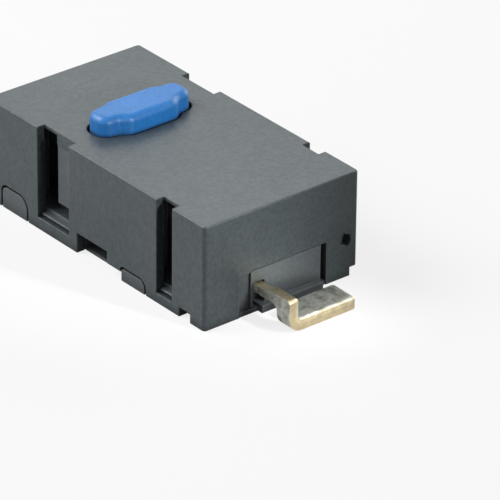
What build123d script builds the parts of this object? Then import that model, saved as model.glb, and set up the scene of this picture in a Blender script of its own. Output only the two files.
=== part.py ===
from build123d import *
import math
import os

os.makedirs("parts", exist_ok=True)

# Low surface-mount micro switch: a moulded cover over a moulded base, a cross-bar plunger in the
# top and one bent terminal at each end. Millimetres. The origin is the centre of the footprint
# on the underside, +X points to the make terminal and +Z up.

# Cover
body_length = 10.87
body_width = 6.00
body_height = 3.55
skirt = 0.30                  # side and end walls of the cover
top_plate = 0.45
edge_round = 0.05             # rounded edges of the top
corner_round = 0.12           # rounded upright corners

# Base
fit_gap = 0.03                # cover to base, all round
base_side = 0.55              # side walls of the tub
base_end = 0.50               # end walls of the tub
base_floor = 0.50

# Latch slots in the cover's long sides, the same on both sides
slot_a_x = -2.05
slot_a_width = 1.60
slot_a_sill = 0.40
slot_b_x = 3.485
slot_b_width = 0.77
slot_b_sill = 0.33
hook_gap = 0.06               # hook above the sill, and hook to the slot's sides
hook_height = 0.13
hook_reach = 0.20
column_width = 0.63           # the tall part of the window in the base behind slot A
window_head = 1.07            # top of its wide part
window_margin = 0.57          # a window's near side lies this far beyond the slot's
top_skin = 0.12               # left of the top plate over a tall window

# Lower edge of the skirt: a high arch between the lugs, a low step and a small notch
arch_from = -0.85
arch_to = 0.67
arch_height = 0.70
pocket_depth = 0.45           # hollow in the base's side behind the arch
pocket_sill = 0.10
step_height = 0.29
notch_x = 4.485
notch_width = 0.53
notch_height = 0.33
far_corner_reach = 0.80       # step in the skirt at one far corner
far_corner_height = 0.29

# Lugs of the base that lie flush in the skirt
lug_gap = 0.08
lug_a_x = -4.045
lug_a_width = 1.25
lug_a_height = 0.74
lug_a_rounds = (0.20, 0.40)
lug_b_x = 1.95
lug_b_width = 1.14
lug_b_height = 0.42
lug_b_rounds = (0.10, 0.25)

# Opening in each end wall of the cover, and the base behind it
end_near = -1.65
end_far = 1.75
end_height = 1.47
end_chamfer = 0.55
end_chamfer_drop = 0.14
lip_height = 0.16
panel_far = 1.55
panel_recess = 0.02           # the base's panel behind the cover's end face
near_recess = 0.10            # its part on the near side of the terminal
ledge_near = -0.90
ledge_far = 1.50
ledge_reach = 0.185           # beyond the cover's end wall
ledge_height = 0.25
guide_wall = 0.09
gate_y = 2.58                 # centre of the gate mark, a deep pit beside a shallow one
gate_z = 1.28
gate_width = 0.30
gate_height = 0.42
gate_depth = 0.26
gate_shallow = 0.07
gate_shift = 0.17             # the shallow pit lies this far aside
gate_rise = 0.085             # and this far up

# Terminals: one stamping, bent down at each solder foot
sheet = 0.40
bend_inside = 0.08
foot_gap = 0.595              # from the cover's end wall to the foot's inner edge
foot_reach = 1.695            # from the cover's end wall to the foot's outer end
foot_far = 1.56
blade_near = -1.08
blade_top = 1.10
neck_top = 1.00
neck_height = 0.26
head_length = 0.98            # full-height part of the blade, back from the outer end
head_ramp = 0.30
leg_width = 0.60
leg_round = 0.22
seat_gap = 0.02               # sheet to the moulding around it

# Contacts
contact_x = 3.00
shelf_length = 1.50
shelf_far = 0.95
head_radius = 0.55
head_height = 0.22
shank_radius = 0.25
upset_radius = 0.36
upset_height = 0.08
rivet_round = 0.06
contact_clearance = 0.08      # between the contacts with the plunger fully down

# Spring
anchor_gap = 0.125            # end wall of the tub to the spring seat
anchor_length = 0.48
leaf = 0.10
leaf_width = 2.00
arm_width = 0.42
leaf_end = 0.75               # beyond the contact's centre
bridge = 0.95                 # from the contact's centre back to the window
tongue_width = 0.70
tongue_tip_x = -0.55
tongue_drop = 0.42
tongue_bow = 0.10
tongue_seat_length = 0.50
tongue_notch = 0.12

# Plunger
plunger_x = -1.44
plunger_y = -0.09
plunger_half_length = 1.765
plunger_bar_half = 0.49
plunger_front_bulge = 0.26    # the middle stands further out towards the make terminal
plunger_back_bulge = 0.14
plunger_mid_half_length = 0.85
plunger_ramp = 0.34
plunger_stand = 0.60          # above the cover
plunger_round = 0.24
plunger_end_corner = 0.40
plunger_side_corner = 0.28
plunger_gap = 0.10
plunger_travel = 0.25
flange_step = 0.30
flange_half_length = 1.50
flange_play = 0.02
flange_share = 0.5            # of the height between the leaf and the cover
nose_radius = 0.16
nose_half_length = 0.95
nose_play = 0.02

# Rest stop under the cover
stop_length = 0.30
stop_half_width = 0.80
stop_play = 0.03

# Worked out from the above
half_length = body_length / 2
half_width = body_width / 2
cavity_top = body_height - top_plate
base_half_length = half_length - skirt - fit_gap
base_half_width = half_width - skirt - fit_gap
base_top = cavity_top - fit_gap
tub_half_length = base_half_length - base_end
tub_half_width = base_half_width - base_side
terminal_reach = half_length + foot_reach
blade_far = blade_near + sheet
shelf_z = blade_top - sheet
fixed_face = blade_top + head_height
anchor_x = anchor_gap + anchor_length - tub_half_length    # where the leaf bends
lever = contact_x - anchor_x
press_turn = plunger_travel / (plunger_x - anchor_x)
contact_drop = lever * press_turn
leaf_z = fixed_face + contact_drop + contact_clearance + head_height
leaf_near_end = contact_x + leaf_end
nose_z = leaf_z + leaf + nose_play
flange_top = cavity_top - flange_play
flange_low = flange_top - (flange_top - nose_z) * flange_share
through = 1.0                 # how far a cutting tool runs past the surface it cuts


def block(x_span, y_span, z_span):
    """A box between two corners, each side given as (low, high)."""
    spans = (x_span, y_span, z_span)
    middle = [(low + high) / 2 for low, high in spans]
    size = [high - low for low, high in spans]
    return Pos(*middle) * Box(*size)


def about(centre, width):
    """The (low, high) span of a width about its centre."""
    return (centre - width / 2, centre + width / 2)


def both_sides(shape):
    """A shape and its mirror image across the long axis."""
    return [shape, mirror(shape, about=Plane.XZ)]


def turned(shape):
    """The same shape at the other end of the switch."""
    return Rot(0, 0, 180) * shape


def slots():
    """Centre, width and sill height of each latch slot."""
    return [(slot_a_x, slot_a_width, slot_a_sill), (slot_b_x, slot_b_width, slot_b_sill)]


def plunger_outline(grow=0.0):
    """The plunger seen from above, about its own axis: a bar with a wider middle."""
    bar = plunger_bar_half + grow
    reach = plunger_half_length + grow
    flat = plunger_mid_half_length + grow / 2
    ramp_end = flat + plunger_ramp
    outline = []
    for way, bulge in ((1, plunger_front_bulge), (-1, plunger_back_bulge)):
        half = [(bar, reach), (bar, ramp_end), (bar + bulge, flat)]
        side = half + [(x, -y) for x, y in reversed(half)]
        outline += [(way * x, way * y) for x, y in side]
    face = make_face(Polyline(*outline, close=True))
    rows = face.vertices().group_by(Axis.Y)
    face = fillet(sum(rows[1:-1], ShapeList()), plunger_side_corner)
    rows = face.vertices().group_by(Axis.Y)
    return fillet(rows[0] + rows[-1], plunger_end_corner + grow)


def lug_face(centre, width, height, rounds, grow=0.0):
    """A lug seen from the side, standing on the underside, with two rounded top corners."""
    near, far = about(centre, width + 2 * grow)
    top = height + grow
    low = -through if grow else 0.0
    outline = Polyline((near, low), (near, top), (far, top), (far, low), close=True)
    face = make_face(outline)
    corners = face.vertices().group_by(Axis.Y)[-1].sort_by(Axis.X)
    face = fillet(corners[0], rounds[0] + grow)
    corners = face.vertices().filter_by_position(Axis.X, far, far).sort_by(Axis.Y)
    return fillet(corners[-1], rounds[1] + grow)


def lug_solid(face, y_from, y_to):
    """A side view drawn in X and Z, given depth from y_from to y_to."""
    upright = Plane((0, y_from, 0), x_dir=(1, 0, 0), z_dir=(0, -1, 0))
    return extrude(upright * face, y_from - y_to)


def lugs(y_from, y_to, grow=0.0):
    """Both lugs of one long side."""
    shapes = [
        lug_face(lug_a_x, lug_a_width, lug_a_height, lug_a_rounds, grow),
        lug_face(lug_b_x, lug_b_width, lug_b_height, lug_b_rounds, grow),
    ]
    return [lug_solid(shape, y_from, y_to) for shape in shapes]


def end_opening(grow=0.0):
    """The opening in the end wall, seen along X, with one slanted upper corner."""
    near = end_near - grow
    far = end_far + grow
    top = end_height + grow
    corner = Polyline(
        (near, -through),
        (near, top - end_chamfer_drop),
        (near + end_chamfer, top),
        (far, top),
        (far, -through),
        close=True,
    )
    return make_face(corner)


def end_cut(x_from, x_to, grow=0.0):
    """The end opening given depth along X."""
    upright = Plane((x_from, 0, 0), x_dir=(0, 1, 0), z_dir=(1, 0, 0))
    return extrude(upright * end_opening(grow), x_to - x_from)


def make_cover():
    outer = block((-half_length, half_length), (-half_width, half_width), (0, body_height))
    cover = fillet(outer.edges().filter_by(Axis.Z), corner_round)
    cover = fillet(cover.edges().group_by(Axis.Z)[-1], edge_round)
    inside_x = half_length - skirt
    inside_y = half_width - skirt
    cover -= block((-inside_x, inside_x), (-inside_y, inside_y), (-through, cavity_top))
    window = extrude(plunger_outline(plunger_gap), 2 * through)
    cover -= Pos(plunger_x, plunger_y, cavity_top - through) * window
    # Latch slots, open at the top face
    side = (-half_width - through, -inside_y)
    cuts = []
    for centre, width, sill in slots():
        cuts.append(block(about(centre, width), side, (sill, body_height + through)))
    # Hollows under the top plate over the tall windows of the base
    hollow_y = (-inside_y - fit_gap, -tub_half_width)
    for span, low in tall_windows():
        cuts.append(block(span, hollow_y, (cavity_top - fit_gap, body_height - top_skin)))
    # Lower edge of the skirt
    lug_b_near = lug_b_x - lug_b_width / 2
    cuts.append(block((arch_from, arch_to), side, (-through, arch_height)))
    cuts.append(block((arch_to, lug_b_near), side, (-through, step_height)))
    cuts.append(block(about(notch_x, notch_width), side, (-through, notch_height)))
    cuts += lugs(-inside_y, side[0], lug_gap)
    for cut in cuts:
        for shape in both_sides(cut):
            cover -= shape
    corner = (half_length - far_corner_reach, half_length + through)
    cover -= block(corner, (inside_y, half_width + through), (-through, far_corner_height))
    # End openings, one turned half round from the other
    opening = end_cut(inside_x, half_length + through)
    cover -= opening
    cover -= turned(opening)
    # Gate mark
    for shift, rise, depth in ((0, 0, gate_depth), (gate_shift, gate_rise, gate_shallow)):
        centre = (half_length, gate_y - shift, gate_z + rise)
        gate = Plane(centre, x_dir=(0, 1, 0), z_dir=(1, 0, 0))
        cover -= extrude(gate * Ellipse(gate_width / 2, gate_height / 2), -depth)
    # Rest stop for the free end of the leaf
    stop_z = leaf_z + leaf + stop_play
    stop_x = (leaf_near_end - stop_length, leaf_near_end)
    cover += block(stop_x, (-stop_half_width, stop_half_width), (stop_z, cavity_top))
    return cover


def hook(centre, width, sill):
    """A latch hook over the sill of one slot, with a sloped back for snapping in."""
    near, far = about(centre, width - 2 * hook_gap)
    low = sill + hook_gap
    high = low + hook_height
    wall_y = -base_half_width
    tip_y = wall_y - hook_reach
    tip_z = low + hook_height / 2
    section = Polyline((wall_y, low), (tip_y, low), (tip_y, tip_z), (wall_y, high), close=True)
    upright = Plane((near, 0, 0), x_dir=(0, 1, 0), z_dir=(1, 0, 0))
    return extrude(upright * make_face(section), far - near)


def tall_windows():
    """Where the base's side wall is open to its top: the spans in X and the lowest points."""
    a_from = slot_a_x - slot_a_width / 2
    b_from, b_to = about(slot_b_x, slot_b_width)
    rise = 2 * hook_gap + hook_height
    column = (a_from - window_margin, a_from + column_width)
    return [(column, slot_a_sill + rise), ((b_from - window_margin, b_to), slot_b_sill + rise)]


def base_windows():
    """Openings through the base's side wall behind the latch slots."""
    depth = (-half_width, -tub_half_width + fit_gap)
    a_from, a_to = about(slot_a_x, slot_a_width)
    foot = slot_a_sill + 2 * hook_gap + hook_height
    cuts = [block((a_from - window_margin, a_to), depth, (foot, window_head))]
    for span, low in tall_windows():
        cuts.append(block(span, depth, (low, base_top + through)))
    return cuts


def base_end_details():
    """The panel, the lip and the ledge that the base shows in an end opening."""
    inner = base_half_length - base_end / 2
    slot_near = blade_near - seat_gap
    slot_far = blade_far + seat_gap
    filled = end_cut(inner, half_length - panel_recess, -fit_gap)
    lip = filled & block((inner, half_length), (end_near, end_far), (0, lip_height))
    panel = filled & block((inner, half_length), (end_near, panel_far), (0, body_height))
    # Shallow step on the near side, leaving a guide wall beside the terminal
    step_y = (end_near, slot_near - guide_wall)
    panel -= block((half_length - near_recess, half_length), step_y, (lip_height, body_height))
    # Slot for the terminal, open downwards to the lip
    slot_z = (lip_height, neck_top + seat_gap)
    panel -= block((base_half_length, half_length), (slot_near, slot_far), slot_z)
    ledge = block((inner, half_length + ledge_reach), (ledge_near, ledge_far), (0, ledge_height))
    return lip + panel + ledge


def make_base():
    tub_x = (-tub_half_length, tub_half_length)
    tub_y = (-tub_half_width, tub_half_width)
    base = block((-base_half_length, base_half_length), (-base_half_width, base_half_width), (0, base_top))
    base -= block(tub_x, tub_y, (base_floor, base_top + through))
    additions = lugs(-base_half_width + base_side / 2, -half_width)
    additions += [hook(*slot) for slot in slots()]
    pocket_y = (-half_width, pocket_depth - base_half_width)
    pocket = block((arch_from, arch_to), pocket_y, (pocket_sill, arch_height))
    for cut in base_windows() + [pocket]:
        for shape in both_sides(cut):
            base -= shape
    for addition in additions:
        for shape in both_sides(addition):
            base += shape
    details = base_end_details()
    base += details
    base += turned(details)
    # Slits for the terminals through the end walls
    slit_x = (tub_half_length - through / 2, half_length)
    slit_y = (blade_near - seat_gap, blade_far + seat_gap)
    slit_z = (neck_top - neck_height - seat_gap, neck_top + seat_gap)
    slit = block(slit_x, slit_y, slit_z)
    base -= slit
    base -= turned(slit)
    return base


def bent_strip(x_span, far, top, upward):
    """Sheet bent at one long edge: a blade along X and a flange towards +Y.

    The flange is at the lower edge of the blade, or at its upper edge where upward is true.
    """
    outer = bend_inside + sheet
    if upward:
        edge, lift, start = top, -1, 90
    else:
        edge, lift, start = top, 1, 180
    bend = (blade_near + outer, edge + lift * outer)
    flange = block(x_span, (blade_near + outer, far), tuple(sorted((edge, edge + lift * sheet))))
    ring = Pos(0, *bend) * Rot(0, 90, 0) * (
        Cylinder(outer, x_span[1] - x_span[0]) - Cylinder(bend_inside, x_span[1] - x_span[0])
    )
    ring = Pos((x_span[0] + x_span[1]) / 2, 0, 0) * ring
    corner_z = tuple(sorted((edge, edge + lift * outer)))
    return flange + (ring & block(x_span, (blade_near, blade_near + outer), corner_z))


def terminal_outside():
    """Neck, leg and solder foot outside the switch, up to the inner face of the end wall."""
    outer = bend_inside + sheet
    leg_from = terminal_reach - leg_width
    neck_low = neck_top - neck_height
    head_from = terminal_reach - head_length
    side_view = Polyline(
        (tub_half_length, neck_low),
        (leg_from, neck_low),
        (leg_from, outer),
        (terminal_reach, outer),
        (terminal_reach, blade_top),
        (head_from, blade_top),
        (head_from - head_ramp, neck_top),
        (tub_half_length, neck_top),
        close=True,
    )
    face = make_face(side_view)
    inner_corner = face.vertices().filter_by_position(Axis.X, leg_from, leg_from).sort_by(Axis.Y)[-1]
    face = fillet(inner_corner, leg_round)
    upright = Plane((0, blade_far, 0), x_dir=(1, 0, 0), z_dir=(0, -1, 0))
    blade = extrude(upright * face, sheet)
    foot_from = half_length + foot_gap
    bend = bent_strip((leg_from, terminal_reach), blade_near + outer + bend_inside, 0, False)
    foot = block((foot_from, terminal_reach), (blade_near + outer, foot_far), (0, sheet))
    upright_edges = foot.edges().filter_by(Axis.Z)
    foot = fillet(upright_edges.group_by(Axis.Y)[-1], bend_inside)
    return blade + bend + foot


def make_make_terminal():
    """Visible terminal: inside it carries the fixed contact on a bent shelf."""
    outer = bend_inside + sheet
    terminal = terminal_outside()
    shelf_x = about(contact_x, shelf_length)
    blade_z = (base_floor, blade_top)
    terminal += block((shelf_x[1], tub_half_length), (blade_near, blade_far), blade_z)
    terminal += block(shelf_x, (blade_near, blade_far), (base_floor, blade_top - outer))
    terminal += bent_strip(shelf_x, shelf_far, blade_top, True)
    hole = Pos(contact_x, 0, shelf_z) * Cylinder(shank_radius, 2 * through)
    return terminal - hole


def tab(x_span, far, top):
    """A tab standing up from the blade and bent over to the far side at its top."""
    outer = bend_inside + sheet
    stem = block(x_span, (blade_near, blade_far), (base_floor, top - outer))
    return stem + bent_strip(x_span, far, top, True)


def make_common_terminal():
    """Hidden terminal, drawn at the +X end and turned: inside it carries the spring's two seats."""
    terminal = terminal_outside()
    seat_x = (-anchor_x, -anchor_x + anchor_length)
    tip_x = (-tongue_tip_x - tongue_notch, -tongue_tip_x - tongue_notch + tongue_seat_length)
    blade_z = (base_floor, blade_top)
    terminal += block((tip_x[0], tub_half_length), (blade_near, blade_far), blade_z)
    terminal += tab(seat_x, leaf_width / 2, leaf_z)
    tip_top = leaf_z - tongue_drop + sheet / 2
    terminal += tab(tip_x, tongue_width / 2 + sheet / 2, tip_top)
    notch_x_span = (tip_x[0] - through, tip_x[0] + tongue_notch + seat_gap)
    notch_y_span = about(0, tongue_width + 2 * seat_gap)
    terminal -= block(notch_x_span, notch_y_span, (tip_top - sheet / 2 - leaf - seat_gap, tip_top + through))
    return turned(terminal)


def make_snap_spring():
    """Leaf with two arms from its seat to the contact, and a tongue between them."""
    seat_end = anchor_x - anchor_length
    leaf_x = (seat_end, leaf_near_end)
    half = leaf_width / 2
    window_x = (anchor_x + anchor_length, contact_x - bridge)
    window_y = (-half + arm_width, half - arm_width)
    spring = block(leaf_x, (-half, half), (leaf_z, leaf_z + leaf))
    corners = spring.edges().filter_by(Axis.Z)
    spring = fillet(corners, arm_width / 2)
    spring -= block(window_x, window_y, (leaf_z - through, leaf_z + through))
    spring -= Pos(contact_x, 0, leaf_z) * Cylinder(shank_radius, 2 * through)
    # Tongue: a bowed strip from the bridge down to its seat
    root_x = window_x[1]
    middle_x = (root_x + tongue_tip_x) / 2
    middle_z = leaf_z - tongue_drop / 2 + tongue_bow + tongue_drop / 4
    lower = ThreePointArc((root_x, leaf_z), (middle_x, middle_z), (tongue_tip_x, leaf_z - tongue_drop))
    upper = ThreePointArc(
        (root_x, leaf_z + leaf),
        (middle_x, middle_z + leaf),
        (tongue_tip_x, leaf_z - tongue_drop + leaf),
    )
    ends = [Line(lower @ 0, upper @ 0), Line(lower @ 1, upper @ 1)]
    strip = make_face([lower, upper] + ends)
    upright = Plane((0, tongue_width / 2, 0), x_dir=(1, 0, 0), z_dir=(0, -1, 0))
    return spring + extrude(upright * strip, tongue_width)


def rivet(seat_top, sheet_below, head_up):
    """Contact rivet: a domed head on one face of a sheet, a shank and a small upset head."""
    way = 1 if head_up else -1
    head_face = seat_top if head_up else seat_top - sheet_below
    tail_face = seat_top - sheet_below if head_up else seat_top
    head = Pos(contact_x, 0, head_face + way * head_height / 2) * Cylinder(head_radius, head_height)
    outer_rim = head.edges().sort_by(Axis.Z)[-1 if head_up else 0]
    head = fillet(outer_rim, rivet_round)
    shank = Pos(contact_x, 0, seat_top - sheet_below / 2) * Cylinder(shank_radius, sheet_below)
    upset_z = tail_face - way * upset_height / 2
    upset = Pos(contact_x, 0, upset_z) * Cylinder(upset_radius, upset_height)
    return head + shank + upset


def make_fixed_contact():
    return rivet(blade_top, sheet, True)


def make_moving_contact():
    return rivet(leaf_z + leaf, leaf, False)


def make_plunger():
    stem_high = body_height + plunger_stand
    stem = extrude(plunger_outline(), stem_high - flange_low)
    stem = Pos(0, 0, flange_low) * stem
    top_edges = stem.faces().sort_by(Axis.Z)[-1].edges()
    stem = fillet(top_edges, plunger_round)
    flange_front = plunger_bar_half + plunger_front_bulge + flange_step
    flange_back = plunger_bar_half + plunger_back_bulge + flange_step
    flange_y = (-flange_half_length, flange_half_length)
    flange = block((-flange_back, flange_front), flange_y, (flange_low, flange_top))
    flange = fillet(flange.edges().filter_by(Axis.Z), plunger_round)
    # Rounded nose that presses on both arms of the leaf
    nose_top = flange_low + nose_radius
    nose_y = about(-plunger_y, 2 * nose_half_length)
    nose = block((-nose_radius, nose_radius), nose_y, (nose_z + nose_radius, nose_top))
    roller = Rot(90, 0, 0) * Cylinder(nose_radius, 2 * nose_half_length)
    roller = Pos(0, -plunger_y, nose_z + nose_radius) * roller
    return Pos(plunger_x, plunger_y, 0) * (stem + flange + nose + roller)


pieces = {
    "cover": make_cover,
    "base": make_base,
    "plunger": make_plunger,
    "make_terminal": make_make_terminal,
    "common_terminal": make_common_terminal,
    "snap_spring": make_snap_spring,
    "moving_contact": make_moving_contact,
    "fixed_contact": make_fixed_contact,
}

for name, make in pieces.items():
    solid = make()
    export_step(solid, os.path.join("parts", name + ".step"))
    print(name, round(solid.volume, 3))

print("leaf height", round(leaf_z, 3), "turn", round(math.degrees(press_turn), 3), "degrees")
print("contact drop", round(contact_drop, 3))
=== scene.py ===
# %% [markdown]
# # A low surface-mount micro switch
# The switch is a few millimetres of moulded plastic and bent sheet metal. Its solids come from the
# CAD model, which is loaded first and never changed. On top of them this lesson gives each piece
# the surface of the real one: some pieces keep their CAD shape and only get a material, and others
# are modelled again with finer curves. Blender works in metres here, so every size is multiplied
# by mm.

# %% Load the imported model
import math

import bmesh
import bpy
from mathutils import Matrix, Vector


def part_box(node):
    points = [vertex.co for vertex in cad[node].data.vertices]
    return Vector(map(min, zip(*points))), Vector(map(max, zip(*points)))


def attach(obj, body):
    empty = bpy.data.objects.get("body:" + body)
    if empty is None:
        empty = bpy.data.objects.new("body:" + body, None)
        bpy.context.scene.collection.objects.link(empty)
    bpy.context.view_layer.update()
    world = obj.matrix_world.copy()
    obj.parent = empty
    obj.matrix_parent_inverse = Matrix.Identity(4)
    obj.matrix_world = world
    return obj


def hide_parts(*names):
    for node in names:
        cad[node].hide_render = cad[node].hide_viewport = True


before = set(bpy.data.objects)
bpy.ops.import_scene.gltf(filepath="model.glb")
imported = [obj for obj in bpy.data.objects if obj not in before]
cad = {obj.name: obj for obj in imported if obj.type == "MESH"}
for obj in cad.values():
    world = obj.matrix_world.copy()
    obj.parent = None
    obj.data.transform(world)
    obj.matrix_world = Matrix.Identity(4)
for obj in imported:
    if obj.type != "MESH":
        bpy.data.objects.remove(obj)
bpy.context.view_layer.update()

mm = 0.001
print("CAD nodes:", ", ".join(sorted(cad)))

# %% [markdown]
# ## The camera
# The photograph was taken from far away with a long lens, so the edges of the switch stay almost
# parallel. The place of the camera was worked out from the corners of the housing. A camera looks
# along its own -Z axis, so its matrix has three columns: right, up and back. A small roll levels
# the picture. The lens is written for a 36 mm sensor and a square picture.

# %% Place the camera
view_azimuth = math.radians(50.5826)
view_elevation = math.radians(28.8257)
view_roll = math.radians(0.66296)
eye = Vector((109.698, -86.949, 76.501)) * mm

back = Vector((
    math.sin(view_azimuth) * math.cos(view_elevation),
    -math.cos(view_azimuth) * math.cos(view_elevation),
    math.sin(view_elevation),
))
level_right = Vector((math.cos(view_azimuth), math.sin(view_azimuth), 0))
level_up = back.cross(level_right)
right = level_right * math.cos(view_roll) + level_up * math.sin(view_roll)
up = level_up * math.cos(view_roll) - level_right * math.sin(view_roll)
facing = Matrix((right, up, back)).transposed().to_4x4()

camera = bpy.data.objects.new("camera", bpy.data.cameras.new("camera"))
bpy.context.collection.objects.link(camera)
camera.matrix_world = Matrix.Translation(eye) @ facing
camera.data.sensor_width = 36
camera.data.lens = 369.24
camera.data.clip_start = 0.01
camera.data.clip_end = 10
bpy.context.scene.camera = camera
print("camera", round(eye.length / mm), "mm from the origin")

# %% [markdown]
# ## Helpers for nodes
# Every material below is a small network of nodes. These helpers keep the cells short: they add a
# node and fill its inputs, do a sum, and make a node group, which is a reusable effect with named
# inputs and outputs. An input is either a plain value or the output of another node.

# %% Add a node and fill its inputs
def fill(tree, socket, value):
    """Links an input to another node's output, or gives it a plain value."""
    if isinstance(value, bpy.types.NodeSocket):
        tree.links.new(value, socket)
    else:
        socket.default_value = value


def add_node(tree, kind, settings=None, **inputs):
    """Adds a node, sets its properties, then fills its inputs by name, or by number as i0, i1."""
    node = tree.nodes.new(kind)
    for name, value in (settings or {}).items():
        setattr(node, name, value)
    for name, value in inputs.items():
        numbered = name[0] == "i" and name[1:].isdigit()
        key = int(name[1:]) if numbered else name.replace("_", " ")
        fill(tree, node.inputs[key], value)
    return node


def math_node(tree, operation, *values, clamp=False):
    node = add_node(tree, "ShaderNodeMath", {"operation": operation, "use_clamp": clamp})
    for socket, value in zip(node.inputs, values):
        fill(tree, socket, value)
    return node.outputs[0]


# %% Make a node group
def new_group(name, inputs, outputs):
    """A shader node group. Inputs are name: (type, value) and outputs are name: type."""
    group = bpy.data.node_groups.new(name, "ShaderNodeTree")
    for label, (kind, value) in inputs.items():
        socket = group.interface.new_socket(
            label, in_out="INPUT", socket_type="NodeSocket" + kind
        )
        if value is not None:
            socket.default_value = value
    for label, kind in outputs.items():
        group.interface.new_socket(label, in_out="OUTPUT", socket_type="NodeSocket" + kind)
    return group, group.nodes.new("NodeGroupInput"), group.nodes.new("NodeGroupOutput")


# %% [markdown]
# ## Moulded grain
# The mould of a small plastic part is spark eroded, and that leaves a fine, even grain of pits on
# the plastic. Glass fibre in the plastic adds a faint mottle. Both are the same on every moulded
# piece at another strength, so they are one group: it gives a tone for the colour and a height for
# the bump. Its pattern reads Object coordinates, in metres, so the grain keeps its real size.

# %% Helpers for patterns
def object_place(tree):
    """The place on the piece, in metres."""
    return add_node(tree, "ShaderNodeTexCoord").outputs["Object"]


def noise_node(tree, **inputs):
    return add_node(tree, "ShaderNodeTexNoise", **inputs).outputs["Fac"]


# %% Group: moulded grain
moulded_grain, grain_in, grain_out = new_group(
    "Moulded grain",
    {"Grain size": ("Float", 0.00009), "Mottle size": ("Float", 0.0006)},
    {"Tone": "Float", "Height": "Float"},
)
pits_share = 0.75
mottle_share = 0.25

grain_place = object_place(moulded_grain)
fine_scale = math_node(moulded_grain, "DIVIDE", 1.0, grain_in.outputs["Grain size"])
mottle_scale = math_node(moulded_grain, "DIVIDE", 1.0, grain_in.outputs["Mottle size"])
pits = noise_node(
    moulded_grain, Vector=grain_place, Scale=fine_scale, Detail=2.0, Roughness=0.6
)
mottle = noise_node(
    moulded_grain, Vector=grain_place, Scale=mottle_scale, Detail=3.0, Roughness=0.55
)
pit_tone = math_node(moulded_grain, "MULTIPLY", pits, pits_share)
grain_tone = math_node(moulded_grain, "MULTIPLY_ADD", mottle, mottle_share, pit_tone)
moulded_grain.links.new(grain_tone, grain_out.inputs["Tone"])
moulded_grain.links.new(pits, grain_out.inputs["Height"])
print("group", moulded_grain.name, "has", len(moulded_grain.nodes), "nodes")

# %% [markdown]
# ## Softened edges
# No moulded edge is razor sharp. A Bevel node rounds the shading near an edge without any
# geometry. Where the rounded normal leaves the true one there is an edge, so the same node also
# tells where the colour is made a little lighter. The Bevel node stays in each material, and
# this group only compares the two normals.

# %% Group: lighter edge
lighter_edge, lighter_edge_in, lighter_edge_out = new_group(
    "Lighter edge",
    {"Rounded normal": ("Vector", None), "Amount": ("Float", 1.0)},
    {"Mask": "Float"},
)
true_normal = add_node(lighter_edge, "ShaderNodeNewGeometry").outputs["True Normal"]
same_way = add_node(
    lighter_edge, "ShaderNodeVectorMath", {"operation": "DOT_PRODUCT"},
    i0=lighter_edge_in.outputs["Rounded normal"], i1=true_normal,
).outputs["Value"]
turned_away = math_node(lighter_edge, "SUBTRACT", 1.0, same_way, clamp=True)
edge_mask = math_node(
    lighter_edge, "MULTIPLY", turned_away, lighter_edge_in.outputs["Amount"], clamp=True
)
lighter_edge.links.new(edge_mask, lighter_edge_out.inputs["Mask"])
print("group", lighter_edge.name, "has", len(lighter_edge.nodes), "nodes")

# %% [markdown]
# ## Moulded plastic
# Cover, base and plunger are all moulded, with other colours and another gloss. The base is
# painted a little lighter than the cover, which is painted light that brightens its end panel. One
# function
# builds their material: the grain's tone moves the colour between a darker and a lighter one, the
# colour turns a little lighter near an edge, and the pits go through a Bump node into the normal.
# An
# Ambient Occlusion node finds the crevices, such as the latch slots, where the colour is darkened
# as painted shade and the plastic is made duller.

# %% Helpers for materials
def new_material(name):
    """A material with one Principled shader. Gives the material, its tree and the shader."""
    material = bpy.data.materials.new(name)
    material.use_nodes = True
    tree = material.node_tree
    tree.nodes.clear()
    out = tree.nodes.new("ShaderNodeOutputMaterial")
    shader = tree.nodes.new("ShaderNodeBsdfPrincipled")
    tree.links.new(shader.outputs["BSDF"], out.inputs["Surface"])
    return material, tree, shader


def use_group(tree, group, **inputs):
    return add_node(tree, "ShaderNodeGroup", {"node_tree": group}, **inputs)


def stretched(tree, value, start, end):
    """Gives 0 where a value is at the start of a range, 1 at its end, and never less or more."""
    return add_node(tree, "ShaderNodeMapRange", Value=value, i1=start, i2=end).outputs["Result"]


def mix_colours(tree, factor, first, second):
    """Goes from the first colour to the second. Either one may come from another node."""
    node = add_node(tree, "ShaderNodeMix", {"data_type": "RGBA"})
    for name, value in (("Factor", factor), ("A", first), ("B", second)):
        fill(tree, node.inputs[name], (*value, 1) if isinstance(value, tuple) else value)
    return node.outputs["Result"]


# %% Material: moulded plastic
grain_dark_at, grain_light_at = 0.38, 0.62
edge_lightening = 1.6
open_above, hollow_below = 0.80, 0.45
# Painted shade: in hollows the colour goes dark, as if shade fell there.
painted_hollow_shade = 0.12  # what is left of the dark colour in a hollow
hollow_dullness = 0.5  # how much rougher it is there
grain_gloss = 0.10  # how much smoother a light grain is than a dark one


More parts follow.
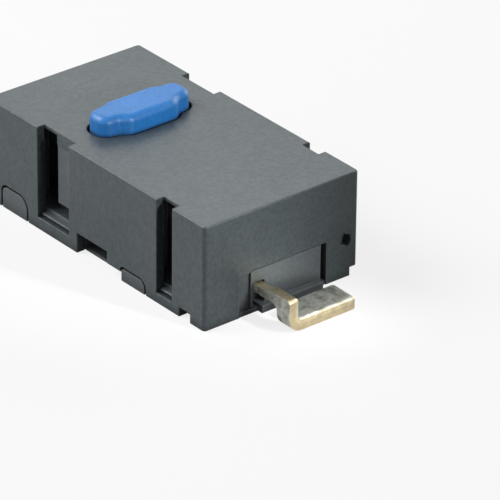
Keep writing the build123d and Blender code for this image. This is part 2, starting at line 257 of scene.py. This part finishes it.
def moulded_plastic(
    name, dark, light, edge, sheen, roughness, specular, grain, mottle, pit_depth, radius, crevice
):
    """Colours are linear, and the last five values are lengths in metres."""
    material, tree, shader = new_material(name)
    rounded = add_node(tree, "ShaderNodeBevel", {"samples": 6}, Radius=radius).outputs["Normal"]
    surface = use_group(tree, moulded_grain, Grain_size=grain, Mottle_size=mottle)
    tone = surface.outputs["Tone"]
    lightening = use_group(tree, lighter_edge, Rounded_normal=rounded, Amount=edge_lightening)
    open_air = add_node(
        tree, "ShaderNodeAmbientOcclusion", {"samples": 6}, Distance=crevice
    ).outputs["AO"]
    hollow = stretched(tree, open_air, open_above, hollow_below)

    colour = mix_colours(tree, stretched(tree, tone, grain_dark_at, grain_light_at), dark, light)
    # The colour turns lighter near an edge, where the Bevel node's normal turns away.
    colour = mix_colours(tree, lightening.outputs["Mask"], colour, edge)
    # Painted shade: the colour darkens in hollows, towards a dim copy of the dark colour.
    colour = mix_colours(tree, hollow, colour, tuple(painted_hollow_shade * c for c in dark))
    tree.links.new(colour, shader.inputs["Base Color"])

    gloss = math_node(tree, "MULTIPLY_ADD", tone, -grain_gloss, roughness + grain_gloss / 2)
    dull = math_node(tree, "MULTIPLY_ADD", hollow, hollow_dullness, gloss, clamp=True)
    tree.links.new(dull, shader.inputs["Roughness"])
    bump = add_node(
        tree, "ShaderNodeBump", Strength=1.0, Distance=pit_depth,
        Height=surface.outputs["Height"], Normal=rounded,
    ).outputs["Normal"]
    tree.links.new(bump, shader.inputs["Normal"])
    shader.inputs["Specular IOR Level"].default_value = specular
    shader.inputs["Specular Tint"].default_value = (*sheen, 1)
    print("material", name, "has", len(tree.nodes), "nodes")
    return material


# %% The three plastics
housing_plastic = moulded_plastic(
    "Housing plastic",
    dark=(0.038, 0.048, 0.052), light=(0.058, 0.072, 0.078), edge=(0.11, 0.125, 0.13),
    sheen=(0.88, 0.98, 1.0), roughness=0.38, specular=0.60, grain=0.00014, mottle=0.0007,
    pit_depth=0.000010, radius=0.00006, crevice=0.00060,
)
# Painted light: the base's colours are lighter than the cover's, to brighten its end panel.
base_plastic = moulded_plastic(
    "Base plastic",
    dark=(0.052, 0.060, 0.066), light=(0.074, 0.084, 0.092), edge=(0.15, 0.165, 0.17),
    sheen=(0.88, 0.97, 1.0), roughness=0.36, specular=0.80, grain=0.00012, mottle=0.0006,
    pit_depth=0.000008, radius=0.00005, crevice=0.00080,
)
plunger_plastic = moulded_plastic(
    "Plunger plastic",
    dark=(0.005, 0.155, 0.47), light=(0.012, 0.195, 0.58), edge=(0.05, 0.29, 0.66),
    sheen=(1.0, 1.0, 1.0), roughness=0.46, specular=0.70, grain=0.00010, mottle=0.0008,
    pit_depth=0.000003, radius=0.00002, crevice=0.00020,
)

# %% Dress the two mouldings of the housing
def dress(node, material):
    """Gives a CAD node's mesh one material."""
    node.data.materials.clear()
    node.data.materials.append(material)
    print(node.name, "keeps its CAD shape and gets", material.name)


dress(cad["cover"], housing_plastic)
dress(cad["base"], base_plastic)

# %% [markdown]
# ## Finishing a modelled piece
# The pieces with round forms are modelled again, because the CAD mesh shows flat facets close up.
# Each is drawn in millimetres, which keeps the operators clear of very small numbers, and scaled
# to metres at the end. Edges that turn sharply stay crisp, the others are shaded smooth, and
# weighted normals keep the flat faces flat beside a rounded edge.

# %% Pick, extrude and round
in_plane = 0.002
near = 0.05


def faces_at(bm, axis, value):
    """The faces that lie wholly in one plane across an axis."""
    return [f for f in bm.faces if all(abs(v.co[axis] - value) < in_plane for v in f.verts)]


def with_edges(face):
    """A face with its edges, which an extrusion needs to drop the face it leaves behind."""
    return [face, *face.edges]


def extrude_by(bm, face, way):
    """Extrudes one face and moves the new end. Gives the vertices of that end."""
    made = bmesh.ops.extrude_face_region(bm, geom=with_edges(face))["geom"]
    ends = [g for g in made if isinstance(g, bmesh.types.BMVert)]
    bmesh.ops.translate(bm, verts=ends, vec=way)
    return ends


def rounded_off(bm, geom, kind, radius, segments):
    bmesh.ops.bevel(
        bm, geom=geom, offset=radius, offset_type="OFFSET", segments=segments, profile=0.5,
        affect=kind, clamp_overlap=False, material=-1,
    )


def round_edges(bm, edges, radius, segments):
    rounded_off(bm, edges, "EDGES", radius, segments)


def round_corners(bm, verts, offset, segments):
    rounded_off(bm, verts, "VERTICES", offset, segments)


# %% Finish a piece
merge_within = 0.0015
crisp_from = math.radians(32)


def finish_piece(bm, name, material, body, node):
    """Makes a closed bmesh in millimetres into a piece that rides on a body for a CAD node."""
    bmesh.ops.remove_doubles(bm, verts=bm.verts, dist=merge_within)
    bmesh.ops.recalc_face_normals(bm, faces=bm.faces)
    bmesh.ops.scale(bm, verts=bm.verts, vec=(mm, mm, mm))
    for face in bm.faces:
        face.smooth = True
    for edge in bm.edges:
        edge.smooth = edge.is_manifold and edge.calc_face_angle() < crisp_from
    loose = sum(not edge.is_manifold for edge in bm.edges)
    mesh = bpy.data.meshes.new(name)
    bm.to_mesh(mesh)
    bm.free()
    mesh.materials.append(material)
    piece = bpy.data.objects.new(name, mesh)
    bpy.context.collection.objects.link(piece)
    piece.modifiers.new("Even shading", "WEIGHTED_NORMAL").keep_sharp = True
    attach(piece, body)
    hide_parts(node)
    print(name, "has", len(mesh.polygons), "faces and", loose, "open edges")
    return piece


# %% [markdown]
# ## The plunger
# The blue plunger is one moulding: a long bar whose middle steps out on both sides, with a soft
# rounded top. It could be a box with a bevel, but then the waist would be missing. So half of its
# outline is drawn from eight points, mirrored, rounded at its corners and raised. A flange and a
# rounded nose under the cover hold it in and press on the spring; they are joined on by a Boolean.

# %% Plunger: its sizes
plunger_axis = Vector((-1.44, -0.09, 0))
stem_low = 2.752
stem_high = 4.15
bar_half = 0.49
bar_end = 1.765
middle_front = 0.75
middle_back = -0.63
step_from = 0.85
step_to = 1.19
bar_round = 0.40
waist_round = 0.28
front_turn = math.radians(37.4)  # how far the outline turns at a step on the +X side
back_turn = math.radians(22.4)  # and on the -X side
top_round = 0.24
flange_top = 3.08
flange_round = 0.24
nose_half = 0.16
nose_ends = (-0.86, 1.04)
nose_round = 0.159
nose_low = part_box("plunger")[0].z / mm
print("plunger from", round(nose_low, 3), "to", stem_high, "mm up")

# %% Plunger: the stem
half_outline = [
    (middle_front, 0), (middle_front, step_from), (bar_half, step_to), (bar_half, bar_end),
    (-bar_half, bar_end), (-bar_half, step_to), (middle_back, step_from), (middle_back, 0),
]
stem = bmesh.new()
stem.faces.new([stem.verts.new((x, y, stem_low)) for x, y in half_outline])
half = stem.verts[:] + stem.edges[:] + stem.faces[:]
bmesh.ops.mirror(stem, geom=half, axis="Y", merge_dist=0.001)
bmesh.ops.recalc_face_normals(stem, faces=stem.faces)
seam = [e for e in stem.edges if all(abs(v.co.y) < 0.001 for v in e.verts)]
bmesh.ops.dissolve_edges(stem, edges=seam, use_verts=True)


def waist_corners(way):
    """The corners of the steps on the bar's +X side (way 1) or its -X side (way -1)."""
    return [
        v for v in stem.verts
        if step_from - near < abs(v.co.y) < step_to + near and v.co.x * way > bar_half - near
    ]


bar_corners = [v for v in stem.verts if abs(v.co.y) > bar_end - near]
round_corners(stem, bar_corners, bar_round, 8)
round_corners(stem, waist_corners(1), waist_round * math.tan(front_turn / 2), 4)
round_corners(stem, waist_corners(-1), waist_round * math.tan(back_turn / 2), 4)
extrude_by(stem, stem.faces[:][0], (0, 0, stem_high - stem_low))
round_edges(stem, faces_at(stem, 2, stem_high)[0].edges[:], top_round, 8)
print("stem:", len(stem.faces), "faces")

# %% Plunger: flange and nose
def edges_along(bm, axis):
    """The straight edges that run along an axis."""
    def run(edge):
        return (edge.verts[0].co - edge.verts[1].co).normalized()

    return [e for e in bm.edges if abs(run(e)[axis]) > 0.99]


def block(low, high):
    """A closed box between two corners, in millimetres."""
    bm = bmesh.new()
    middle = (Vector(low) + Vector(high)) / 2
    size = Matrix.Diagonal((*(Vector(high) - Vector(low)), 1))
    bmesh.ops.create_cube(bm, size=1, matrix=Matrix.Translation(middle) @ size)
    return bm


flange = block((-0.93, -1.50, stem_low), (1.05, 1.50, flange_top))
round_edges(flange, edges_along(flange, 2), flange_round, 6)

nose = block((-nose_half, nose_ends[0], nose_low), (nose_half, nose_ends[1], stem_low + 0.1))
nose_bottom = [e for e in edges_along(nose, 1) if e.verts[0].co.z < nose_low + near]
round_edges(nose, nose_bottom, nose_round, 8)
print("flange:", len(flange.faces), "faces, nose:", len(nose.faces), "faces")

# %% Plunger: join and finish
def joined(first, *others):
    """One closed bmesh out of overlapping closed ones."""
    def as_object(bm):
        mesh = bpy.data.meshes.new("joining")
        bmesh.ops.recalc_face_normals(bm, faces=bm.faces)
        bm.to_mesh(mesh)
        bm.free()
        thing = bpy.data.objects.new("joining", mesh)
        bpy.context.collection.objects.link(thing)
        return thing

    things = [as_object(bm) for bm in (first, *others)]
    for tool in things[1:]:
        join = things[0].modifiers.new("join", "BOOLEAN")
        join.operation = "UNION"
        join.solver = "EXACT"
        join.object = tool
    seen_as = things[0].evaluated_get(bpy.context.evaluated_depsgraph_get())
    whole = bmesh.new()
    whole.from_mesh(seen_as.to_mesh())
    seen_as.to_mesh_clear()
    for thing in things:
        bpy.data.meshes.remove(thing.data)
    return whole


plunger = joined(stem, flange, nose)
bmesh.ops.translate(plunger, verts=plunger.verts, vec=plunger_axis)
finish_piece(plunger, "blue_plunger", plunger_plastic, "plunger", "plunger")

# %% [markdown]
# ## Sheet metal and its cut edges
# The terminals are punched from brass sheet that was plated first, and then bent. So the flat
# faces are a dull silver grey with fine lines from rolling, and the cut edges show the bare,
# warmer brass. A punch leaves two bands across a cut: a bright band where it sheared, and a
# rougher one where the sheet broke away. Each vertex carries a value named depth, 0 on the punched
# side and 1 on the other, so it runs from 0 to 1 across a cut edge and stays the same on a flat
# face. Handling and flux leave darker stains on the plating, in patches much larger than the
# lines.

# %% Group: rolled lines and stains
along_the_roll = 0.06

rolled_lines, rolled_in, rolled_out = new_group(
    "Rolled lines",
    {"Line size": ("Float", 0.00004), "Stain size": ("Float", 0.0003)},
    {"Tone": "Float", "Stain": "Float"},
)
rolled_place = object_place(rolled_lines)
drawn_out = add_node(
    rolled_lines, "ShaderNodeMapping", Vector=rolled_place, Scale=(along_the_roll, 1, 1)
).outputs["Vector"]
line_scale = math_node(rolled_lines, "DIVIDE", 1.0, rolled_in.outputs["Line size"])
lines = noise_node(
    rolled_lines, Vector=drawn_out, Scale=line_scale, Detail=3.0, Roughness=0.6
)
stain_scale = math_node(rolled_lines, "DIVIDE", 1.0, rolled_in.outputs["Stain size"])
stains = noise_node(
    rolled_lines, Vector=rolled_place, Scale=stain_scale, Detail=4.0, Roughness=0.65
)
line_tone = stretched(rolled_lines, lines, 0.34, 0.66)
stained = stretched(rolled_lines, stains, 0.40, 0.64)
rolled_lines.links.new(line_tone, rolled_out.inputs["Tone"])
rolled_lines.links.new(stained, rolled_out.inputs["Stain"])
print("group", rolled_lines.name, "has", len(rolled_lines.nodes), "nodes")

# %% Group: sheared edge
cut_sharpness = 60.0
ragged_by = 0.35
ragged_middle = 0.12
break_sharpness = 9.0

sheared_edge, sheared_in, sheared_out = new_group(
    "Sheared edge",
    {"Depth": ("Float", 0.0), "Bright share": ("Float", 0.4), "Grain size": ("Float", 0.00005)},
    {"Cut": "Float", "Broken": "Float", "Height": "Float"},
)
depth_in = sheared_in.outputs["Depth"]
from_far = math_node(sheared_edge, "SUBTRACT", 1.0, depth_in)
in_between = math_node(sheared_edge, "MULTIPLY", depth_in, from_far)
cut = math_node(sheared_edge, "MULTIPLY", in_between, cut_sharpness, clamp=True)
crumb_scale = math_node(sheared_edge, "DIVIDE", 1.0, sheared_in.outputs["Grain size"])
crumbs = noise_node(
    sheared_edge, Vector=object_place(sheared_edge), Scale=crumb_scale, Detail=2.0
)
ragged = math_node(sheared_edge, "MULTIPLY_ADD", crumbs, ragged_by, depth_in)
past = math_node(sheared_edge, "SUBTRACT", ragged, sheared_in.outputs["Bright share"])
past_middle = math_node(sheared_edge, "SUBTRACT", past, ragged_middle)
broken = math_node(sheared_edge, "MULTIPLY", past_middle, break_sharpness, clamp=True)
rough_height = math_node(sheared_edge, "MULTIPLY", crumbs, broken)
sheared_edge.links.new(cut, sheared_out.inputs["Cut"])
sheared_edge.links.new(broken, sheared_out.inputs["Broken"])
sheared_edge.links.new(rough_height, sheared_out.inputs["Height"])
print("group", sheared_edge.name, "has", len(sheared_edge.nodes), "nodes")

# %% Material: plated sheet with bare edges
plating_roughness = 0.46
cut_polish = 0.18
break_roughness = 0.08
crumb_depth = 0.000006
stain_on_brass = 0.45

plated_sheet, tree, shader = new_material("Plated sheet")
cut_depth = add_node(tree, "ShaderNodeAttribute", {"attribute_name": "depth"}).outputs["Fac"]
rolled = use_group(tree, rolled_lines, Line_size=0.00005, Stain_size=0.00030)
sheared = use_group(tree, sheared_edge, Depth=cut_depth, Bright_share=0.45)
tone, stain = rolled.outputs["Tone"], rolled.outputs["Stain"]
cut, broken = sheared.outputs["Cut"], sheared.outputs["Broken"]

plating = mix_colours(tree, tone, (0.48, 0.48, 0.44), (0.60, 0.61, 0.57))
plating = mix_colours(tree, stain, plating, (0.25, 0.25, 0.20))
bare = mix_colours(tree, broken, (0.80, 0.69, 0.44), (0.60, 0.50, 0.32))
bare_stain = math_node(tree, "MULTIPLY", stain, stain_on_brass)
bare = mix_colours(tree, bare_stain, bare, (0.30, 0.27, 0.18))
tree.links.new(mix_colours(tree, cut, plating, bare), shader.inputs["Base Color"])

gloss = math_node(tree, "MULTIPLY_ADD", cut, -cut_polish, plating_roughness)
torn = math_node(tree, "MULTIPLY_ADD", broken, break_roughness, gloss)
tree.links.new(torn, shader.inputs["Roughness"])
shader.inputs["Metallic"].default_value = 1.0
bump = add_node(
    tree, "ShaderNodeBump", Strength=1.0, Distance=crumb_depth, Height=sheared.outputs["Height"]
).outputs["Normal"]
tree.links.new(bump, shader.inputs["Normal"])
print("material", plated_sheet.name, "has", len(tree.nodes), "nodes")

# %% [markdown]
# ## The terminals
# Each terminal is one stamping: a blade through the end wall, a leg, a tight bend and a flat foot
# for the solder. The blade's side view is drawn from a few points and given the thickness of the
# sheet. The end of the leg is then spun through a quarter turn, as a bending tool would, and
# extruded to the foot. A small round on the punched side catches the light, as the real
# rolled-over edge does. Inside the switch the shape is hidden, so that half is a copy of the CAD
# mesh, welded on in the end wall.

# %% Terminal: its sizes
blade_near = -1.08
blade_far = -0.68
blade_low = 0.74
blade_high = 1.00
joint_x = 4.80
hidden_x = 5.00
neck_from = 5.85
neck_to = 6.15
leg_x = 6.53
leg_high = 1.10
leg_round = 0.22
bend_y, bend_z = -0.60, 0.48
foot_start = 6.03
foot_end = 7.13
foot_top = 0.40
foot_reach = 1.56
corner_round = 0.14
rolled_over = 0.12
print("sheet", round(blade_far - blade_near, 2), "mm thick, foot up to", foot_end, "mm")

# %% Terminal: the blade, the bend and the foot
def cut_across(bm, x, clear_outer=False):
    """Cuts a bmesh by the plane across X there, and may clear what lies beyond it."""
    everything = bm.verts[:] + bm.edges[:] + bm.faces[:]
    bmesh.ops.bisect_plane(
        bm, geom=everything, dist=0.0001, plane_co=(x, 0, 0), plane_no=(1, 0, 0),
        clear_outer=clear_outer,
    )


def terminal_outside():
    """Blade, bend and foot outside the end wall, with the value depth on each vertex."""
    bm = bmesh.new()
    depth = bm.verts.layers.float.new("depth")
    side_view = [
        (joint_x, blade_low), (leg_x, blade_low), (leg_x, bend_z), (foot_end, bend_z),
        (foot_end, leg_high), (neck_to, leg_high), (neck_from, blade_high),
        (joint_x, blade_high),
    ]
    bm.faces.new([bm.verts.new((x, blade_near, z)) for x, z in side_view])
    inner = [v for v in bm.verts if abs(v.co.x - leg_x) < near and v.co.z > blade_low - near]
    round_corners(bm, inner, leg_round, 6)
    outer = [v for v in bm.verts if v.co.x > foot_end - near and v.co.z > leg_high - near]
    round_corners(bm, outer, corner_round, 6)
    for vertex in bm.verts:
        vertex[depth] = 1
    for vertex in extrude_by(bm, bm.faces[:][0], (0, blade_far - blade_near, 0)):
        vertex[depth] = 0
    leg_end = faces_at(bm, 2, bend_z)[0]
    bmesh.ops.spin(
        bm, geom=with_edges(leg_end), cent=(0, bend_y, bend_z), axis=(1, 0, 0),
        dvec=(0, 0, 0), angle=math.radians(90), steps=12, use_merge=False, use_duplicate=False,
    )
    bend_end = faces_at(bm, 1, bend_y)[0]
    extrude_by(bm, bend_end, (0, foot_reach - bend_y, 0))

    def on_foot(vertex):
        return vertex.co.z < foot_top + in_plane and vertex.co.y > bend_y - in_plane

    foot_side = next(f for f in faces_at(bm, 0, leg_x) if all(on_foot(v) for v in f.verts))
    extrude_by(bm, foot_side, (foot_start - leg_x, 0, 0))
    upright = edges_along(bm, 2)
    foot_corners = [e for e in upright if all(v.co.y > foot_reach - near for v in e.verts)]
    round_edges(bm, foot_corners, corner_round, 6)
    cut_across(bm, hidden_x)
    return bm, depth


# %% Terminal: the rolled-over edge
def roll_over(bm, depth, radius):
    """Rounds the edge all along the punched side, where a flat face meets a cut one."""
    def is_punched(part):
        return all(v[depth] < 0.001 for v in part.verts)

    rim = []
    for edge in bm.edges:
        in_wall = any(v.co.x < hidden_x - in_plane for v in edge.verts)
        kinds = [is_punched(face) for face in edge.link_faces]
        if is_punched(edge) and not in_wall and sorted(kinds) == [False, True]:
            rim.append(edge)
    round_edges(bm, rim, radius, 4)
    return len(rim)


# %% Terminal: the half inside, from the CAD mesh
def turned_about_z(bm, angle):
    turn = Matrix.Rotation(angle, 3, "Z")
    bmesh.ops.rotate(bm, verts=bm.verts, cent=(0, 0, 0), matrix=turn)


def terminal_inside(node, angle):
    """The CAD mesh of a terminal, cut off in its end wall, in millimetres."""
    bm = bmesh.new()
    bm.from_mesh(cad[node].data)
    bmesh.ops.scale(bm, verts=bm.verts, vec=(1 / mm, 1 / mm, 1 / mm))
    turned_about_z(bm, angle)
    bmesh.ops.remove_doubles(bm, verts=bm.verts, dist=0.001)
    bmesh.ops.dissolve_limit(
        bm, angle_limit=math.radians(0.5), verts=bm.verts, edges=bm.edges
    )
    cut_across(bm, joint_x, clear_outer=True)
    depth = bm.verts.layers.float.new("depth")
    for vertex in bm.verts:
        vertex[depth] = 1 if abs(vertex.co.y - blade_near) < in_plane else 0
    return bm


# %% Terminal: weld the halves and place both terminals
def build_terminal(name, node, angle):
    """One terminal, made at the +X end and turned by an angle to where it belongs."""
    whole, depth = terminal_outside()
    rim = roll_over(whole, depth, rolled_over)
    bmesh.ops.delete(whole, geom=faces_at(whole, 0, joint_x), context="FACES_ONLY")
    inside = terminal_inside(node, angle)
    half = bpy.data.meshes.new("half")
    inside.to_mesh(half)
    inside.free()
    whole.from_mesh(half)
    bpy.data.meshes.remove(half)
    turned_about_z(whole, angle)
    print(name, "rolled over along", rim, "edges")
    piece = finish_piece(whole, name, plated_sheet, "housing", node)
    if "custom_normal" in piece.data.attributes:
        piece.data.attributes.remove(piece.data.attributes["custom_normal"])


build_terminal("plated_make_terminal", "make_terminal", 0)
build_terminal("plated_common_terminal", "common_terminal", math.pi)

# %% [markdown]
# ## The contacts
# The contacts are small rivets of silver alloy, headed on one side of the sheet and upset on the
# other. A rivet is round, so half of its section is drawn and spun about its own axis, and the rim
# of its head is then rounded.

# %% Material: contact silver
silver_roughness = 0.12
silver_wear = 0.2

contact_silver, tree, shader = new_material("Contact silver")
lightening = use_group(tree, moulded_grain, Grain_size=0.00006, Mottle_size=0.0004).outputs["Tone"]
silver = mix_colours(tree, lightening, (0.70, 0.69, 0.66), (0.90, 0.89, 0.85))
tree.links.new(silver, shader.inputs["Base Color"])
gloss = math_node(tree, "MULTIPLY_ADD", lightening, silver_wear, silver_roughness)
tree.links.new(gloss, shader.inputs["Roughness"])
shader.inputs["Metallic"].default_value = 1.0
print("material", contact_silver.name, "has", len(tree.nodes), "nodes")

# %% Contact rivets: the section
head_radius = 0.55
head_depth = 0.22
head_round = 0.06
shank_radius = 0.25
upset_radius = 0.36
upset_depth = 0.08


def rivet_section(face, tail):
    """Half of a rivet's section, (radius, height), from the head's face to the upset end."""
    way = 1 if tail > face else -1
    under_head = face + way * head_depth
    over_upset = tail - way * upset_depth
    return [
        (0, face), (head_radius, face), (head_radius, under_head), (shank_radius, under_head),
        (shank_radius, over_upset), (upset_radius, over_upset), (upset_radius, tail), (0, tail),
    ]


# %% Contact rivets: spin and finish
def make_contact(name, node, body, faces_up):
    """Spins a rivet's section about the contact's axis, with its head up or down."""
    low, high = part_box(node)
    axis_x = (low.x + high.x) / 2 / mm
    face, tail = low.z / mm, high.z / mm
    if faces_up:
        face, tail = tail, face
    bm = bmesh.new()
    points = [bm.verts.new((axis_x + radius, 0, z)) for radius, z in rivet_section(face, tail)]
    wires = [bm.edges.new(pair) for pair in zip(points, points[1:])]
    bmesh.ops.spin(
        bm, geom=points + wires, cent=(axis_x, 0, 0), axis=(0, 0, 1), dvec=(0, 0, 0),
        angle=math.tau, steps=64, use_merge=True, use_duplicate=False,
    )
    bmesh.ops.remove_doubles(bm, verts=bm.verts, dist=0.001)
    bmesh.ops.recalc_face_normals(bm, faces=bm.faces)
    middle = Vector((axis_x, 0, face))

    def on_rim(vertex):
        on_face = abs(vertex.co.z - face) < in_plane
        return on_face and (vertex.co - middle).length > head_radius - near

    rim = [e for e in bm.edges if all(on_rim(v) for v in e.verts)]
    round_edges(bm, rim, head_round, 4)
    finish_piece(bm, name, contact_silver, body, node)


make_contact("fixed_contact_rivet", "fixed_contact", "housing", faces_up=True)
make_contact("moving_contact_rivet", "moving_contact", "contact_arm", faces_up=False)

# %% [markdown]
# ## The spring
# The snap spring is thin rolled copper alloy. Its CAD shape is already right: flat arms and a
# bowed tongue. So it keeps that shape and only gets its metal, with long fine lines from the
# rolls.

# %% Material: spring sheet
spring_roughness = 0.34
line_polish = 0.12

spring_sheet, tree, shader = new_material("Spring sheet")
rolled = use_group(tree, rolled_lines, Line_size=0.00003).outputs["Tone"]
copper = mix_colours(tree, rolled, (0.62, 0.40, 0.24), (0.78, 0.55, 0.36))
tree.links.new(copper, shader.inputs["Base Color"])
gloss = math_node(tree, "MULTIPLY_ADD", rolled, -line_polish, spring_roughness)
tree.links.new(gloss, shader.inputs["Roughness"])
shader.inputs["Metallic"].default_value = 1.0
dress(cad["snap_spring"], spring_sheet)

# %% [markdown]
# ## Floor, world and lamps
# The floor is pale and plain. For the camera, and for what the metal mirrors, it and the world are
# white. For soft light that bounces, they are grey, so that the switch keeps its shading.
#
# Three softboxes light the switch: the key at the front left, a weak one behind it on the left
# that puts the satin sheen on the top, and one behind that fills the far side. Satin plastic this
# dark shows more of what it mirrors than of its own colour, so where the boxes stand matters more
# than how strong they are. Three snoots, which are narrow spots, lift the near end, the plunger
# and the foot. The Standard view transform shows the colours as they are written.

# %% Helpers for the surroundings
def any_ray(tree, path, *kinds):
    """1 for a ray of any of these kinds, from a Light Path node."""
    first, *others = (path.outputs[f"Is {kind} Ray"] for kind in kinds)
    for other in others:
        first = math_node(tree, "MAXIMUM", first, other)
    return first


def mixed_shader(tree, factor, first, second):
    return add_node(
        tree, "ShaderNodeMixShader", i0=factor, i1=first.outputs[0], i2=second.outputs[0]
    )


# %% Floor: the sheet
floor_size = 1.2
floor_drop = 0.02 * mm

floor_mesh = bpy.data.meshes.new("floor")
floor_bm = bmesh.new()
bmesh.ops.create_grid(floor_bm, x_segments=1, y_segments=1, size=floor_size / 2)
bmesh.ops.translate(floor_bm, verts=floor_bm.verts, vec=(0, 0, -floor_drop))
floor_bm.to_mesh(floor_mesh)
floor_bm.free()
floor = bpy.data.objects.new("floor", floor_mesh)
bpy.context.collection.objects.link(floor)
print("floor", floor_size, "m wide")

# %% Floor: its paint
seen_glow = 0.80
mirrored_glow = 0.15

floor_paint = bpy.data.materials.new("Floor")
floor_paint.use_nodes = True
tree = floor_paint.node_tree
tree.nodes.clear()
out = tree.nodes.new("ShaderNodeOutputMaterial")
path = tree.nodes.new("ShaderNodeLightPath")
mirrored = any_ray(tree, path, "Transmission", "Glossy")
seen = math_node(tree, "MAXIMUM", mirrored, path.outputs["Is Camera Ray"])
glow_share = math_node(tree, "MULTIPLY_ADD", mirrored, mirrored_glow - seen_glow, seen_glow)
soft = add_node(tree, "ShaderNodeBsdfDiffuse", Color=(0.30, 0.30, 0.31, 1))
pale = add_node(tree, "ShaderNodeBsdfDiffuse", Color=(0.92, 0.92, 0.92, 1))
glow = add_node(tree, "ShaderNodeEmission", Color=(1, 1, 1, 1), Strength=1.0)
lit = mixed_shader(tree, glow_share, pale, glow)
both = mixed_shader(tree, seen, soft, lit)
tree.links.new(both.outputs[0], out.inputs["Surface"])
floor_mesh.materials.append(floor_paint)
print("material", floor_paint.name, "has", len(tree.nodes), "nodes")

# %% World
bounced_level = 0.06

world = bpy.data.worlds.new("studio")
bpy.context.scene.world = world
world.use_nodes = True
tree = world.node_tree
tree.nodes.clear()
out = tree.nodes.new("ShaderNodeOutputWorld")
path = tree.nodes.new("ShaderNodeLightPath")
seen = any_ray(tree, path, "Camera", "Glossy", "Transmission")
soft = add_node(
    tree, "ShaderNodeBackground", Color=(0.97, 0.98, 1.0, 1), Strength=bounced_level
)
white = add_node(tree, "ShaderNodeBackground", Color=(1, 1, 1, 1), Strength=1.0)
both = mixed_shader(tree, seen, soft, white)
tree.links.new(both.outputs[0], out.inputs["Surface"])
print("world gives soft light of level", bounced_level)

# %% Helpers for lamps
body_middle = Vector((0, 0, 1)) * mm
snoot_reach = 60 * mm
snoot_size = 2 * mm


def new_lamp(name, kind, place, toward):
    """A lamp at a place, turned so that it shines along a direction."""
    lamp = bpy.data.objects.new(name, bpy.data.lights.new(name, kind))
    bpy.context.collection.objects.link(lamp)
    lamp.location = place
    lamp.rotation_mode = "QUATERNION"
    lamp.rotation_quaternion = toward.to_track_quat("-Z", "Y")
    return lamp


def softbox(name, place, size, light_level):
    """A square area lamp. In mid-body it gives a white card facing it this level of light."""
    toward = body_middle - Vector(place) * mm
    lamp = new_lamp(name, "AREA", Vector(place) * mm, toward)
    lamp.data.size = size * mm
    lamp.data.energy = light_level * math.pi ** 2 * toward.length ** 2
    lamp.visible_camera = False


def snoot(name, target, way, cone, light_level):
    """A narrow spot lamp that stands off its target that way, soft edged, at a level as above."""
    way = Vector(way).normalized()
    lamp = new_lamp(name, "SPOT", Vector(target) * mm + way * snoot_reach, -way)
    lamp.data.shadow_soft_size = snoot_size
    lamp.data.spot_size = math.radians(cone)
    lamp.data.spot_blend = 1.0
    lamp.data.energy = light_level * 4 * math.pi ** 2 * snoot_reach ** 2


# %% Place the lamps
softbox("key", (-100, -100, 130), 120, 1.02)
softbox("back left", (-120, 90, 120), 90, 0.10)
softbox("back", (-10, 150, 50), 90, 0.35)
snoot("end snoot", (5.4, -2.6, 2.4), (0.85, 0.30, 0.43), 8.0, 0.95)
snoot("plunger snoot", (-1.1, 0.0, 3.9), (0.9, -0.1, 0.3), 6.5, 0.75)
snoot("foot snoot", (6.6, 0.4, 0.5), (0.6, 0.3, 0.7), 3.5, 2.6)

view = bpy.context.scene.view_settings
view.view_transform = "Standard"
